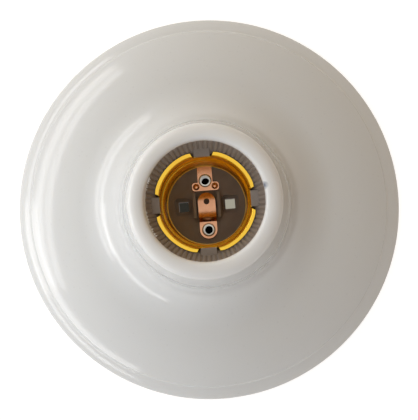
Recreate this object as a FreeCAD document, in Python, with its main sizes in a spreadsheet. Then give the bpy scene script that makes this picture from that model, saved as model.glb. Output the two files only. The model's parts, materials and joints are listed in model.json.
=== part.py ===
import FreeCAD, Part
import math
import os

import Sketcher

# Driving dimensions of the lamp holder, in millimetres and degrees.
# The origin is the centre of the rim's lower plane, and +Z runs along the socket axis to the lamp.
SIZES = {
    # moulded cover: an ogee plate that sweeps up into the collar round the socket
    "cover_radius": 65.0,
    "cover_height": 55.0,
    "cover_wall": 2.4,
    "rim_height": 5.0,
    "rim_round": 1.8,
    "rim_band": 4.2,
    "step_height": 1.6,
    "step_width": 1.2,
    "step_round": 2.2,
    "dome_slope": 15.0,
    "flare_radius": 22.0,
    "foot_radius": 25.1,
    "foot_height": 37.0,
    "foot_bead": 0.5,
    "collar_radius": 21.8,
    "mouth_radius": 16.75,
    "lip_round": 2.9,
    "mouth_round": 1.95,
    # bosses under the flare that take the two insulator screws
    "boss_radius": 3.6,
    "boss_place": 27.0,
    "boss_bottom": 16.0,
    "boss_hole_depth": 7.0,
    # insulator: a moulded cup with a fluted mouth above and a terminal chamber below
    "insulator_radius": 19.0,
    "insulator_gap": 0.3,
    "floor_height": 24.5,
    "floor_thickness": 5.0,
    "skirt_bottom": 13.0,
    "skirt_wall": 2.0,
    "flute_count": 72,
    "flute_depth": 0.45,
    "flute_ridge": 0.4,
    "flute_foot": 46.5,
    "flute_foot_radius": 14.7,
    "lug_count": 4.0,
    "lug_width": 4.5,
    "lug_reach": 13.0,
    "lug_height": 2.0,
    "lug_bottom": 45.5,
    "guide_inside": 3.3,
    "guide_wall": 0.9,
    "guide_height": 2.2,
    "guide_length": 7.8,
    "slot_place": 7.3,
    "slot_width": 3.1,
    "slot_recess": 5.3,
    "slot_recess_depth": 1.6,
    "ear_radius": 4.2,
    "wire_notch_width": 6.0,
    "wire_notch_height": 4.0,
    # screw shell: drawn sheet with a rolled Edison thread
    "thread_pitch": 3.629,
    "thread_depth": 1.1,
    "thread_inside": 13.25,
    "thread_turns": 5.0,
    "shell_wall": 0.35,
    "shell_gap": 0.3,
    "shell_base_width": 1.4,
    "shell_plain": 0.9,
    "shell_neck": 1.4,
    "shell_rim_radius": 14.25,
    "shell_rim_rise": 1.6,
    "notch_clearance": 0.3,
    # riveted metalwork on the cup floor
    "eyelet_place": 7.7,
    "eyelet_bore": 1.3,
    "eyelet_wall": 0.3,
    "eyelet_flange": 2.05,
    "eyelet_rim": 0.5,
    "fit_gap": 0.05,
    "strip_thickness": 0.4,
    "tab_width": 2.6,
    "tab_span": 8.4,
    "tab_place": 5.9,
    "tab_tongue_width": 4.6,
    "ear_bump_place": 2.9,
    "ear_bump_radius": 1.15,
    "ear_bump_height": 0.7,
    "leaf_width": 5.4,
    "leaf_clearance": 0.3,
    "leaf_tip_place": 1.1,
    "leaf_heel": 4.9,
    "leaf_knee": 3.5,
    "leaf_crest_height": 4.0,
    "leaf_crest_place": 0.4,
    "leaf_round": 6.0,
    "leaf_hole": 0.9,
    # terminals under the cup floor
    "plate_thickness": 0.8,
    "plate_width": 7.0,
    "screw_place": 13.0,
    "screw_radius": 1.75,
    "screw_clearance": 0.08,
    "screw_reach": 4.4,
    "head_radius": 3.0,
    "head_height": 2.2,
    "driver_slot_width": 0.9,
    "driver_slot_depth": 1.1,
    "clamp_length": 5.8,
    "clamp_thickness": 0.9,
    "fixing_reach": 9.0,
}

# Values that follow from the driving dimensions.
DERIVED = {
    "flare_end_x": "Sizes.foot_radius + Sizes.flare_radius * (1 - sin(Sizes.dome_slope * 1 deg))",
    "flare_end_z": "Sizes.foot_height - Sizes.flare_radius * cos(Sizes.dome_slope * 1 deg)",
    "shoulder_x": "Sizes.cover_radius - Sizes.rim_band - Sizes.step_width",
    "shoulder_z": "Sizes.rim_height + Sizes.step_height",
    "dome_run": "shoulder_x - flare_end_x",
    "dome_drop": "flare_end_z - shoulder_z",
    "dome_radius": "(dome_run ^ 2 + dome_drop ^ 2) / (2 * (dome_drop * cos(Sizes.dome_slope * 1 deg)"
    " - dome_run * sin(Sizes.dome_slope * 1 deg)))",
    "dome_centre_x": "flare_end_x - dome_radius * sin(Sizes.dome_slope * 1 deg)",
    "dome_centre_z": "flare_end_z - dome_radius * cos(Sizes.dome_slope * 1 deg)",
    "inner_shoulder_x": "shoulder_x + Sizes.cover_wall * (dome_centre_x - shoulder_x) / dome_radius",
    "inner_shoulder_z": "shoulder_z + Sizes.cover_wall * (dome_centre_z - shoulder_z) / dome_radius",
    "inner_flare_x": "flare_end_x - Sizes.cover_wall * sin(Sizes.dome_slope * 1 deg)",
    "inner_flare_z": "flare_end_z - Sizes.cover_wall * cos(Sizes.dome_slope * 1 deg)",
    "lip_underside": "Sizes.cover_height - Sizes.cover_wall",
    "insulator_top": "lip_underside - Sizes.insulator_gap",
    "insulator_bottom": "Sizes.floor_height - Sizes.floor_thickness",
    "mouth_inside": "Sizes.mouth_radius - Sizes.fit_gap",
    "thread_half": "Sizes.thread_depth / 2",
    "thread_middle": "Sizes.thread_inside - Sizes.thread_depth / 2 + Sizes.shell_wall / 2",
    "thread_round": "Sizes.thread_pitch ^ 2 / 32 / thread_half + thread_half / 2",
    "thread_lean": "asin(Sizes.thread_pitch / 4 / thread_round)",
    "shell_bottom": "Sizes.floor_height + Sizes.strip_thickness + Sizes.fit_gap",
    "thread_start": "shell_bottom + Sizes.shell_plain",
    "thread_end": "thread_start + Sizes.thread_turns * Sizes.thread_pitch",
    "shell_bore": "Sizes.thread_inside + Sizes.shell_wall + Sizes.shell_gap",
    "shell_top": "thread_end + Sizes.shell_neck + Sizes.shell_rim_rise",
    "eyelet_outside": "Sizes.eyelet_bore + Sizes.eyelet_wall",
    "eyelet_hole": "eyelet_outside + Sizes.fit_gap",
    "tab_top": "Sizes.floor_height + Sizes.strip_thickness",
    "leaf_bottom": "Sizes.floor_height + Sizes.leaf_clearance",
    "leaf_centre_z": "leaf_bottom + Sizes.leaf_crest_height - Sizes.leaf_round",
    "leaf_outer_round": "Sizes.leaf_round + Sizes.strip_thickness",
    "leaf_tip": "Sizes.leaf_tip_place + Sizes.leaf_width / 2",
    "plate_bottom": "insulator_bottom - Sizes.plate_thickness",
    "clamp_top": "plate_bottom - Sizes.fit_gap",
    "clamp_bottom": "clamp_top - Sizes.clamp_thickness",
    "screw_head_top": "clamp_bottom - Sizes.fit_gap",
    "screw_hole": "Sizes.screw_radius + Sizes.screw_clearance",
}

document = FreeCAD.newDocument("LampHolder")


def make_sheet(name, cells):
    """Fill a spreadsheet with named cells."""
    sheet = document.addObject("Spreadsheet::Sheet", name)
    for row, (alias, content) in enumerate(cells.items(), start=1):
        sheet.set(f"A{row}", alias)
        sheet.set(f"B{row}", f"={content}" if isinstance(content, str) else str(content))
        sheet.setAlias(f"B{row}", alias)
    document.recompute()
    return sheet


sizes = make_sheet("Sizes", SIZES)
derived = make_sheet("Derived", DERIVED)


def named(text):
    """Spell out which sheet each bare name in a formula comes from."""
    words = []
    word = ""
    for letter in text + " ":
        if letter.isalnum() or letter in "_.":
            word += letter
            continue
        if word in SIZES:
            word = f"Sizes.{word}"
        elif word in DERIVED:
            word = f"Derived.{word}"
        words.append(word + letter)
        word = ""
    return "".join(words).strip()


def value(text):
    """Work out a formula of named sizes."""
    result = sizes.evalExpression(named(text))
    return float(getattr(result, "Value", result))


def new_body(label):
    """Start a piece of the lamp holder."""
    body = document.addObject("PartDesign::Body", label)
    body.Label = label
    return body


def new_sketch(body, name, plane, height="0"):
    """Attach a sketch to one of the body's own planes, raised along the plane's normal."""
    sketch = body.newObject("Sketcher::SketchObject", name)
    planes = [item for item in body.Origin.OriginFeatures if item.Role == plane]
    sketch.AttachmentSupport = [(planes[0], "")]
    sketch.MapMode = "FlatFace"
    sketch.setExpression("AttachmentOffset.Base.z", named(height))
    return sketch


def place_point(sketch, edge, end, x, y):
    """Hold a point of the sketch at a named place."""
    across = sketch.addConstraint(Sketcher.Constraint("DistanceX", -1, 1, edge, end, value(x)))
    sketch.setExpression(f"Constraints[{across}]", named(x))
    along = sketch.addConstraint(Sketcher.Constraint("DistanceY", -1, 1, edge, end, value(y)))
    sketch.setExpression(f"Constraints[{along}]", named(y))


def hold_radius(sketch, edge, radius):
    """Hold an arc or circle at a named radius."""
    held = sketch.addConstraint(Sketcher.Constraint("Radius", edge, value(radius)))
    sketch.setExpression(f"Constraints[{held}]", named(radius))


def bulged(start, end, radius, side):
    """Anticlockwise arc between two points that bulges left (+1) or right (-1) of the way to end."""
    way = end.sub(start)
    half = way.Length / 2
    rise = radius - max(radius**2 - half**2, 0.0) ** 0.5
    left = FreeCAD.Vector(-way.y, way.x, 0).normalize()
    middle = start.add(way.multiply(0.5)).add(left.multiply(side * rise))
    return Part.Arc(end, middle, start) if side > 0 else Part.Arc(start, middle, end)


def draw_outline(sketch, corners):
    """Draw a closed outline.

    Each corner is (x, y) where a straight edge leaves it, or (x, y, radius, side) where an arc does.
    """
    points = [FreeCAD.Vector(value(corner[0]), value(corner[1]), 0) for corner in corners]
    ends = []
    for index, corner in enumerate(corners):
        start = points[index]
        finish = points[(index + 1) % len(points)]
        if len(corner) == 2:
            edge = sketch.addGeometry(Part.LineSegment(start, finish), False)
            ends.append((edge, 1, 2))
            continue
        edge = sketch.addGeometry(bulged(start, finish, value(corner[2]), corner[3]), False)
        ends.append((edge, 2, 1) if corner[3] > 0 else (edge, 1, 2))
        hold_radius(sketch, edge, corner[2])
    for index, corner in enumerate(corners):
        edge, first, last = ends[index]
        following, begin, _ = ends[(index + 1) % len(ends)]
        sketch.addConstraint(Sketcher.Constraint("Coincident", edge, last, following, begin))
        place_point(sketch, edge, first, corner[0], corner[1])


def draw_circle(sketch, x, y, radius):
    """Draw a full circle."""
    centre = FreeCAD.Vector(value(x), value(y), 0)
    edge = sketch.addGeometry(Part.Circle(centre, FreeCAD.Vector(0, 0, 1), value(radius)), False)
    place_point(sketch, edge, 3, x, y)
    hold_radius(sketch, edge, radius)


def draw_box(sketch, low_x, low_y, high_x, high_y):
    """Draw an upright rectangle."""
    draw_outline(sketch, [(low_x, low_y), (high_x, low_y), (high_x, high_y), (low_x, high_y)])


def draw_round_box(sketch, low_x, low_y, high_x, high_y, radius):
    """Draw a rectangle with rounded corners."""
    corners = [
        (f"{low_x} + {radius}", low_y),
        (f"{high_x} - {radius}", low_y, radius, -1),
        (high_x, f"{low_y} + {radius}"),
        (high_x, f"{high_y} - {radius}", radius, -1),
        (f"{high_x} - {radius}", high_y),
        (f"{low_x} + {radius}", high_y, radius, -1),
        (low_x, f"{high_y} - {radius}"),
        (low_x, f"{low_y} + {radius}", radius, -1),
    ]
    draw_outline(sketch, corners)


def draw_obround(sketch, half_width, low_y, high_y, centre_x="0"):
    """Draw a bar along Y with round ends about the points low_y and high_y."""
    left = f"{centre_x} - ({half_width})"
    right = f"{centre_x} + ({half_width})"
    corners = [
        (left, low_y, half_width, -1),
        (centre_x, f"{low_y} - ({half_width})", half_width, -1),
        (right, low_y),
        (right, high_y, half_width, -1),
        (centre_x, f"{high_y} + ({half_width})", half_width, -1),
        (left, high_y),
    ]
    draw_outline(sketch, corners)


def extrude(body, kind, sketch, length, midplane=False, backwards=False):
    """Pad or pocket a sketch."""
    feature = body.newObject(f"PartDesign::{kind}", f"{sketch.Name}{kind}")
    feature.Profile = sketch
    feature.setExpression("Length", named(length))
    feature.Reversed = backwards
    if midplane:
        feature.SideType = "Symmetric"
    sketch.Visibility = False
    return feature


def turn(body, kind, sketch):
    """Revolve or groove a sketch a full turn round its own upright axis."""
    feature = body.newObject(f"PartDesign::{kind}", f"{sketch.Name}{kind}")
    feature.Profile = sketch
    feature.ReferenceAxis = (sketch, ["V_Axis"])
    feature.Angle = 360
    sketch.Visibility = False
    return feature


def mirror(body, feature, plane):
    """Repeat a feature on the far side of one of the body's own planes."""
    planes = [item for item in body.Origin.OriginFeatures if item.Role == plane]
    mirrored = body.newObject("PartDesign::Mirrored", f"{feature.Name}Mirrored")
    mirrored.Originals = [feature]
    mirrored.MirrorPlane = (planes[0], [""])
    body.Tip = mirrored


def repeat_round(body, feature, count):
    """Repeat a feature evenly round the socket axis."""
    pattern = body.newObject("PartDesign::PolarPattern", f"{feature.Name}Round")
    pattern.Originals = [feature]
    pattern.Axis = (feature.Profile[0], ["N_Axis"])
    pattern.Angle = 360
    pattern.setExpression("Occurrences", named(count))
    body.Tip = pattern


def build_cover():
    """Revolve the cover's wall, then hang the two screw bosses under its flare."""
    body = new_body("cover")
    wall = new_sketch(body, "CoverWall", "XZ_Plane")
    corners = [
        ("cover_radius", "0"),
        ("cover_radius", "rim_height - rim_round", "rim_round", -1),
        ("cover_radius - rim_round", "rim_height"),
        ("shoulder_x + step_width", "rim_height", "step_round", 1),
        ("shoulder_x", "shoulder_z", "dome_radius", -1),
        ("flare_end_x", "flare_end_z", "flare_radius", 1),
        ("foot_radius", "foot_height", "foot_bead", -1),
        ("foot_radius - foot_bead", "foot_height + foot_bead"),
        ("collar_radius", "cover_height - lip_round", "lip_round", -1),
        ("collar_radius - lip_round", "cover_height"),
        ("mouth_radius + mouth_round", "cover_height", "mouth_round", -1),
        ("mouth_radius", "cover_height - mouth_round"),
        ("mouth_radius", "lip_underside"),
        ("collar_radius - cover_wall", "lip_underside"),
        ("foot_radius - cover_wall", "foot_height", "flare_radius + cover_wall", -1),
        ("inner_flare_x", "inner_flare_z", "dome_radius - cover_wall", 1),
        ("inner_shoulder_x", "inner_shoulder_z"),
        ("shoulder_x", "rim_height - cover_wall"),
        ("cover_radius - cover_wall", "rim_height - cover_wall"),
        ("cover_radius - cover_wall", "0"),
    ]
    draw_outline(wall, corners)
    turn(body, "Revolution", wall)
    boss = new_sketch(body, "CoverBosses", "XY_Plane", "boss_bottom")
    for side in ("", "-"):
        draw_circle(boss, f"{side}boss_place", "0", "boss_radius")
    extrude(body, "Pad", boss, "foot_height - boss_bottom")
    outside = new_sketch(body, "CoverOutside", "XZ_Plane")
    sky = [
        ("flare_end_x", "flare_end_z", "flare_radius", 1),
        ("foot_radius", "foot_height"),
        ("foot_radius", "cover_height"),
        ("flare_end_x", "cover_height"),
    ]
    draw_outline(outside, sky)
    turn(body, "Groove", outside)
    bore = new_sketch(body, "CoverBossHoles", "XY_Plane", "boss_bottom")
    for side in ("", "-"):
        draw_circle(bore, f"{side}boss_place", "0", "screw_hole")
    extrude(body, "Pocket", bore, "boss_hole_depth", backwards=True)
    return body


def draw_flute_ring(sketch, inside):
    """Draw the ring of flutes seen from above: flat ridges at the inside radius, V grooves between."""
    ridge_radius = value(inside)
    groove_radius = ridge_radius + value("flute_depth")
    pitch = math.tau / value("flute_count")
    half_ridge = value("flute_ridge / flute_foot_radius") / 2
    points = []
    for flute in range(int(value("flute_count"))):
        middle = flute * pitch
        for angle, radius in (
            (middle - half_ridge, ridge_radius),
            (middle + half_ridge, ridge_radius),
            (middle + pitch / 2, groove_radius),
        ):
            points.append(FreeCAD.Vector(radius * math.cos(angle), radius * math.sin(angle), 0))
    following = points[1:] + points[:1]
    sketch.addGeometry([Part.LineSegment(one, other) for one, other in zip(points, following)], False)


def cut_flutes(body):
    """Cut the tapered, fluted mouth down into the cup."""
    foot = new_sketch(body, "FluteFoot", "XY_Plane", "flute_foot")
    draw_flute_ring(foot, "flute_foot_radius")
    top = new_sketch(body, "FluteTop", "XY_Plane", "insulator_top")
    draw_flute_ring(top, "mouth_inside")
    flutes = body.newObject("PartDesign::SubtractiveLoft", "Flutes")
    flutes.Profile = foot
    flutes.Sections = [top]
    flutes.Ruled = True
    foot.Visibility = False
    top.Visibility = False


def build_insulator():
    """Mould the cup: revolved wall and floor, then its flutes, lugs, guides, slots and ears."""
    body = new_body("insulator")
    wall = new_sketch(body, "InsulatorWall", "XZ_Plane")
    corners = [
        ("0", "floor_height"),
        ("shell_bore", "floor_height"),
        ("shell_bore", "flute_foot - shell_neck"),
        ("flute_foot_radius - fit_gap", "flute_foot"),
        ("flute_foot_radius - fit_gap", "insulator_top"),
        ("insulator_radius", "insulator_top"),
        ("insulator_radius", "skirt_bottom"),
        ("insulator_radius - skirt_wall", "skirt_bottom"),
        ("insulator_radius - skirt_wall", "insulator_bottom"),
        ("0", "insulator_bottom"),
    ]
    draw_outline(wall, corners)
    turn(body, "Revolution", wall)
    cut_flutes(body)
    lug = new_sketch(body, "Lug", "XY_Plane", "lug_bottom")
    root = "(flute_foot_radius + insulator_radius) / 2"
    draw_box(lug, "lug_reach", "-lug_width / 2", root, "lug_width / 2")
    repeat_round(body, extrude(body, "Pad", lug, "lug_height"), "lug_count")
    add_floor_details(body)
    add_ears(body)
    return body


def add_floor_details(body):
    """Form the guides, fixing slots and holes in the cup's floor."""
    guides = new_sketch(body, "Guides", "XY_Plane", "floor_height")
    outside = "guide_inside + guide_wall"
    draw_box(guides, "guide_inside", "-guide_length / 2", outside, "guide_length / 2")
    draw_box(guides, f"-({outside})", "-guide_length / 2", "-guide_inside", "guide_length / 2")
    extrude(body, "Pad", guides, "guide_height")
    recess = new_sketch(body, "SlotRecesses", "XY_Plane", "floor_height")
    slots = new_sketch(body, "Slots", "XY_Plane", "floor_height")
    for side in ("", "-"):
        middle = f"{side}slot_place"
        wide = "slot_recess / 2"
        narrow = "slot_width / 2"
        draw_round_box(recess, f"{middle} - {wide}", f"-{wide}", f"{middle} + {wide}", wide, "slot_recess / 5")
        draw_box(slots, f"{middle} - {narrow}", f"-{narrow}", f"{middle} + {narrow}", narrow)
    extrude(body, "Pocket", recess, "slot_recess_depth")
    extrude(body, "Pocket", slots, "floor_thickness + slot_width")
    eyelets = new_sketch(body, "EyeletHoles", "XY_Plane", "floor_height")
    screws = new_sketch(body, "TerminalHoles", "XY_Plane", "insulator_bottom")
    for side in ("", "-"):
        draw_circle(eyelets, "0", f"{side}eyelet_place", "eyelet_hole")
        draw_circle(screws, "0", f"{side}screw_place", "screw_hole")
    extrude(body, "Pocket", eyelets, "floor_thickness + slot_width")
    depth = "screw_head_top + screw_reach + insulator_gap - insulator_bottom"
    extrude(body, "Pocket", screws, depth, backwards=True)


def add_ears(body):
    """Add the two ears that the cover's bosses hold, and the wire notches through the skirt."""
    notches = new_sketch(body, "WireNotches", "XY_Plane", "skirt_bottom")
    half = "wire_notch_width / 2"
    inside = "insulator_radius - 2 * skirt_wall"
    outside = "insulator_radius + skirt_wall"
    draw_box(notches, f"-{half}", inside, half, outside)
    draw_box(notches, f"-{half}", f"-({outside})", half, f"-({inside})")
    extrude(body, "Pocket", notches, "wire_notch_height", backwards=True)
    ears = new_sketch(body, "Ears", "XY_Plane", "skirt_bottom")
    holes = new_sketch(body, "EarHoles", "XY_Plane", "skirt_bottom")
    for side, bulge in (("", -1), ("-", 1)):
        corners = [
            (f"{side}(insulator_radius - skirt_wall / 2)", "-ear_radius"),
            (f"{side}boss_place", "-ear_radius", "ear_radius", bulge),
            (f"{side}(boss_place + ear_radius)", "0", "ear_radius", bulge),
            (f"{side}boss_place", "ear_radius"),
            (f"{side}(insulator_radius - skirt_wall / 2)", "ear_radius"),
        ]
        draw_outline(ears, corners)
        draw_circle(holes, f"{side}boss_place", "0", "screw_hole")
    extrude(body, "Pad", ears, "boss_bottom - skirt_bottom", backwards=False)
    extrude(body, "Pocket", holes, "boss_bottom - skirt_bottom", backwards=True)


def rolled_wall(outer):
    """List the corners of one face of the rolled thread, from its lowest turn to its highest."""
    sign = 1 if outer else -1
    half_wall = "shell_wall / 2"
    across = f"thread_middle + ({sign}) * {half_wall} * cos(thread_lean)"
    corners = []
    for turn_half in range(2 * int(SIZES["thread_turns"])):
        crest = turn_half % 2 == 0
        shift = -sign if crest else sign
        height = f"thread_start + {turn_half} * thread_pitch / 2 + ({shift}) * {half_wall} * sin(thread_lean)"
        grow = "+" if crest == outer else "-"
        corners.append((across, height, f"thread_round {grow} {half_wall}", -1 if crest else 1))
    return corners


def build_screw_shell():
    """Draw the brass shell: base flange, rolled thread, neck and flared rim with four notches."""
    body = new_body("screw_shell")
    wall = new_sketch(body, "ShellWall", "XZ_Plane")
    half_wall = "shell_wall / 2"
    side_x = f"{half_wall} * cos(thread_lean)"
    side_z = f"{half_wall} * sin(thread_lean)"
    neck_out = "thread_inside + shell_wall"
    climb_out = f"({neck_out} - thread_middle - {side_x}) / tan(thread_lean)"
    climb_in = f"(thread_inside - thread_middle + {side_x}) / tan(thread_lean)"
    neck_top = "thread_end + shell_neck"
    corners = [(f"thread_middle + {half_wall} - shell_base_width", "shell_bottom")]
    corners.append((f"thread_middle + {half_wall}", "shell_bottom"))
    corners.append((f"thread_middle + {half_wall}", "thread_start - shell_wall"))
    corners += rolled_wall(True)
    corners += [
        (f"thread_middle + {side_x}", f"thread_end - {side_z}"),
        (neck_out, f"thread_end - {side_z} + {climb_out}"),
        (neck_out, neck_top),
        ("shell_rim_radius", "shell_top"),
        ("shell_rim_radius - shell_wall", "shell_top"),
        ("thread_inside", neck_top),
        ("thread_inside", f"thread_end + {side_z} + {climb_in}"),
    ]
    down = [(f"thread_middle - {side_x}", f"thread_end + {side_z}")] + rolled_wall(False)[::-1]
    for upper, lower in zip(down, down[1:]):
        corners.append((upper[0], upper[1], lower[2], -lower[3]))
    corners += [
        down[-1][:2],
        (f"thread_middle - {half_wall}", "thread_start - shell_wall / 2"),
        (f"thread_middle - {half_wall}", "shell_bottom + shell_wall"),
        (f"thread_middle + {half_wall} - shell_base_width", "shell_bottom + shell_wall"),
    ]
    draw_outline(wall, corners)
    turn(body, "Revolution", wall)
    notch = new_sketch(body, "RimNotch", "XY_Plane", "shell_top")
    half = "(lug_width / 2 + notch_clearance)"
    draw_box(notch, "lug_reach - shell_neck", f"-{half}", "shell_rim_radius + shell_neck", half)
    cut = extrude(body, "Pocket", notch, "shell_top - lug_bottom + notch_clearance")
    repeat_round(body, cut, "lug_count")
    return body


def build_shell_contact():
    """Blank the strip that joins the shell's base to its eyelet, with two domed ears."""
    body = new_body("shell_contact")
    band = new_sketch(body, "ContactBand", "XY_Plane", "floor_height")
    half = "tab_width / 2"
    draw_round_box(
        band, "-tab_span / 2", f"tab_place - {half}", "tab_span / 2", f"tab_place + {half}", "tab_width / 3"
    )
    extrude(body, "Pad", band, "strip_thickness")
    tongue = new_sketch(body, "ContactTongue", "XY_Plane", "floor_height")
    end = "thread_middle - shell_wall"
    draw_box(tongue, "-tab_tongue_width / 2", "tab_place", "tab_tongue_width / 2", end)
    extrude(body, "Pad", tongue, "strip_thickness")
    bump = new_sketch(body, "ContactEar", "XZ_Plane", "-tab_place")
    bump.setExpression("AttachmentOffset.Base.x", named("ear_bump_place"))
    round_size = "(ear_bump_radius ^ 2 + ear_bump_height ^ 2) / (2 * ear_bump_height)"
    base = "floor_height + strip_thickness / 2"
    corners = [("0", base), ("ear_bump_radius", base, round_size, -1), ("0", f"{base} + ear_bump_height")]
    draw_outline(bump, corners)
    mirror(body, turn(body, "Revolution", bump), "YZ_Plane")
    hole = new_sketch(body, "ContactHole", "XY_Plane", "floor_height")
    draw_circle(hole, "0", "eyelet_place", "eyelet_hole")
    extrude(body, "Pocket", hole, "ear_bump_height + strip_thickness", backwards=True)
    return body


def build_centre_contact():
    """Form the sprung strip: bend its side profile, then trim it to its plan and pierce it."""
    body = new_body("centre_contact")
    side = new_sketch(body, "LeafSide", "YZ_Plane")
    back = "-(eyelet_place + leaf_width / 2)"
    lean = "strip_thickness * 2 / 3"
    corners = [
        (back, "leaf_bottom"),
        ("-leaf_heel", "leaf_bottom"),
        ("-leaf_knee", "leaf_centre_z + sqrt(leaf_round ^ 2 - (leaf_knee + leaf_crest_place) ^ 2)",
         "leaf_round", -1),
        ("leaf_tip", "leaf_centre_z + sqrt(leaf_round ^ 2 - (leaf_tip - leaf_crest_place) ^ 2)"),
        ("leaf_tip", "leaf_centre_z + sqrt(leaf_outer_round ^ 2 - (leaf_tip - leaf_crest_place) ^ 2)",
         "leaf_outer_round", 1),
        (f"-leaf_knee - {lean}",
         f"leaf_centre_z + sqrt(leaf_outer_round ^ 2 - (leaf_knee + {lean} + leaf_crest_place) ^ 2)"),
        (f"-leaf_heel - {lean}", "leaf_bottom + strip_thickness"),
        (back, "leaf_bottom + strip_thickness"),
    ]
    draw_outline(side, corners)
    extrude(body, "Pad", side, "leaf_width", midplane=True)
    plan = new_sketch(body, "LeafPlan", "XY_Plane", "leaf_bottom + leaf_round")
    draw_obround(plan, "leaf_width / 2", "-eyelet_place", "leaf_tip_place")
    draw_box(plan, "-leaf_width", f"{back} - leaf_width", "leaf_width", "leaf_tip + leaf_width")
    extrude(body, "Pocket", plan, "2 * leaf_round")
    holes = new_sketch(body, "LeafHoles", "XY_Plane", "leaf_bottom + leaf_round")
    draw_circle(holes, "0", "leaf_tip_place", "leaf_hole")
    draw_circle(holes, "0", "-eyelet_place", "eyelet_hole + fit_gap")
    extrude(body, "Pocket", holes, "2 * leaf_round")
    return body


def set_side(body, side, place):
    """Move a piece made on the socket axis out to its own side of the socket."""
    if side < 0:
        body.Placement = FreeCAD.Placement(
            FreeCAD.Vector(), FreeCAD.Rotation(FreeCAD.Vector(0, 0, 1), 180)
        )
    if place:
        body.setExpression("Placement.Base.y", named(f"({side}) * {place}"))


def build_eyelet(label, side, seat):
    """Turn a hollow rivet whose rolled head sits at the named height."""
    body = new_body(label)
    section = new_sketch(body, f"Eyelet{label}", "XZ_Plane")
    foot = "plate_bottom - eyelet_rim"
    corners = [
        ("eyelet_bore", foot),
        ("eyelet_flange - eyelet_rim", foot, "eyelet_rim", -1),
        ("eyelet_flange", "plate_bottom"),
        ("eyelet_outside", "plate_bottom"),
        ("eyelet_outside", seat),
        ("eyelet_flange", seat, "eyelet_rim", -1),
        ("eyelet_flange - eyelet_rim", f"{seat} + eyelet_rim"),
        ("eyelet_bore", f"{seat} + eyelet_rim"),
    ]
    draw_outline(section, corners)
    turn(body, "Revolution", section)
    set_side(body, side, "eyelet_place")
    return body


def build_terminal(label, side):
    """Blank the brass terminal plate that its eyelet rivets under the floor."""
    body = new_body(label)
    plan = new_sketch(body, f"Plate{label}", "XY_Plane", "plate_bottom")
    draw_obround(plan, "plate_width / 2", "eyelet_place", "screw_place")
    draw_circle(plan, "0", "eyelet_place", "eyelet_hole")
    draw_circle(plan, "0", "screw_place", "screw_hole")
    extrude(body, "Pad", plan, "plate_thickness")
    set_side(body, side, "")
    return body


def build_clamp(label, side):
    """Blank the square wire clamp that rides under a terminal screw's head."""
    body = new_body(label)
    plan = new_sketch(body, f"Clamp{label}", "XY_Plane", "clamp_bottom")
    half = "clamp_length / 2"
    draw_round_box(
        plan, "-plate_width / 2", f"screw_place - {half}", "plate_width / 2", f"screw_place + {half}",
        "clamp_thickness"
    )
    draw_circle(plan, "0", "screw_place", "screw_hole")
    extrude(body, "Pad", plan, "clamp_thickness")
    set_side(body, side, "")
    return body


def build_screw(label, seat, reach):
    """Turn a slotted pan-head screw that hangs head down from the named height."""
    body = new_body(label)
    section = new_sketch(body, f"Screw{label}", "XZ_Plane")
    low = f"{seat} - head_height"
    edge = "driver_slot_width"
    tip = f"{seat} + {reach}"
    corners = [
        ("0", low),
        (f"head_radius - {edge}", low, edge, -1),
        ("head_radius", f"{low} + {edge}"),
        ("head_radius", seat),
        ("screw_radius", seat),
        ("screw_radius", f"{tip} - screw_radius / 3"),
        ("screw_radius * 2 / 3", tip),
        ("0", tip),
    ]
    draw_outline(section, corners)
    turn(body, "Revolution", section)
    slot = new_sketch(body, f"Driver{label}", "XY_Plane", low)
    half = "driver_slot_width / 2"
    draw_box(slot, "-head_radius - 1", f"-{half}", "head_radius + 1", half)
    extrude(body, "Pocket", slot, "driver_slot_depth", backwards=True)
    return body


def build_all():
    """Build every piece and return the bodies in the order they go together."""
    bodies = [build_cover(), build_insulator(), build_screw_shell()]
    bodies += [build_shell_contact(), build_centre_contact()]
    bodies.append(build_eyelet("shell_eyelet", 1, "tab_top"))
    bodies.append(build_eyelet("centre_eyelet", -1, "(leaf_bottom + strip_thickness + leaf_clearance)"))
    for name, side in (("shell", 1), ("centre", -1)):
        bodies.append(build_terminal(f"{name}_terminal", side))
        bodies.append(build_clamp(f"{name}_wire_clamp", side))
        screw = build_screw(f"{name}_terminal_screw", "screw_head_top", "screw_reach")
        set_side(screw, side, "screw_place")
        bodies.append(screw)
    for name, side in (("right", 1), ("left", -1)):
        screw = build_screw(f"{name}_insulator_screw", "skirt_bottom", "fixing_reach")
        screw.setExpression("Placement.Base.x", named(f"({side}) * boss_place"))
        bodies.append(screw)
    return bodies


def check_pieces(bodies):
    """Stop if any feature failed or any piece is not one sound solid."""
    for item in document.Objects:
        if "Invalid" in item.State or "Error" in item.State:
            raise RuntimeError(f"{item.Label} failed: {item.State}")
    for body in bodies:
        shape = body.Shape
        if shape.isNull() or not shape.isValid() or len(shape.Solids) != 1:
            raise RuntimeError(f"{body.Label} is not one sound solid")


pieces = build_all()
document.recompute()
check_pieces(pieces)
os.makedirs("parts", exist_ok=True)
for piece in pieces:
    piece.Shape.exportStep(f"parts/{piece.Label}.step")
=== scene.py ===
"""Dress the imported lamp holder: its moulded cover, fluted cup, rolled brass shell and riveted contacts."""

import json
import logging
import math
from dataclasses import dataclass, field
from enum import Enum
from typing import Callable, Sequence

import bmesh
import bpy
from bmesh.types import BMesh, BMVert
from mathutils import Matrix, Vector


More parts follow.
